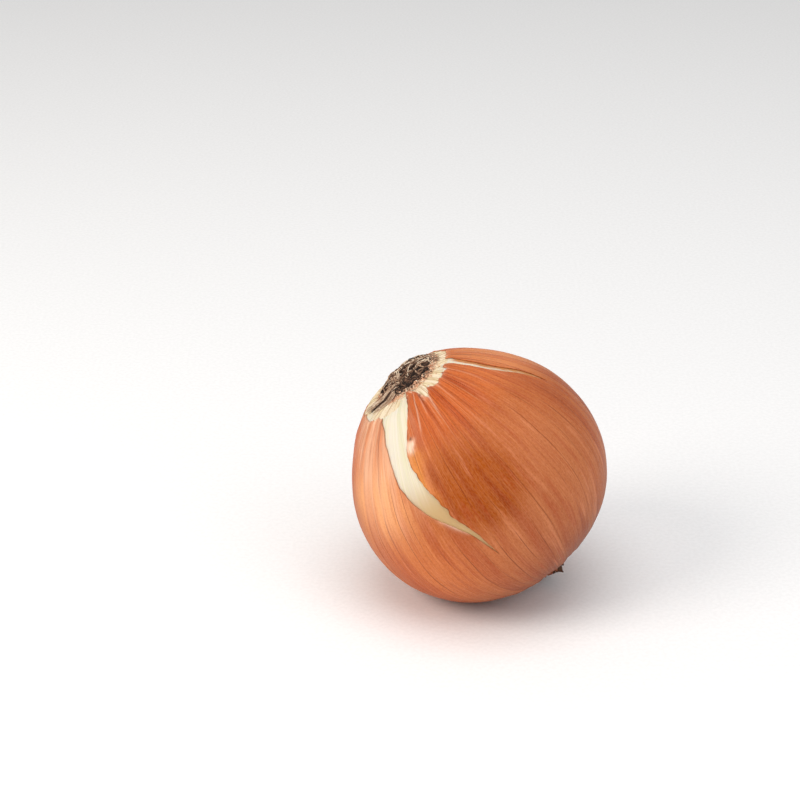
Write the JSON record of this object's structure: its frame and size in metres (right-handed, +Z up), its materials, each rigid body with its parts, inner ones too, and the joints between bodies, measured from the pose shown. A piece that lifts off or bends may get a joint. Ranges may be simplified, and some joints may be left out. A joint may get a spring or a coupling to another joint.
{
  "type": "onion",
  "caption": "Small yellow onion lying on its shoulder: split papery copper skin over a pale bulb, a dark mat of dried roots on the raised end and a short dry neck.",
  "frame": {"origin": "on the floor straight below the middle of the bulb, inside the small flat spot that the onion rests on", "axes": "+Z up from the floor; the onion's own axis lies in the XZ plane and leans 36.3 degrees from upright, with the root end up and towards -X and the neck down and towards +X; the wide split in the skin faces -Y"},
  "size_m": [0.0676, 0.0686, 0.0671],
  "materials": {
    "papery_skin": "satin dry onion skin, copper orange with darker lengthwise veins",
    "onion_flesh": "moist pale cream onion flesh with faint lengthwise veins",
    "dried_roots": "matt dark brown wiry roots",
    "dried_leaf": "matt brown dry leaf"
  },
  "bodies": {
    "root": {"papery_skin": "papery_skin", "fleshy_bulb": "onion_flesh", "root_tuft": "dried_roots", "leaf_stub": "dried_leaf"}
  },
  "joints": []
}
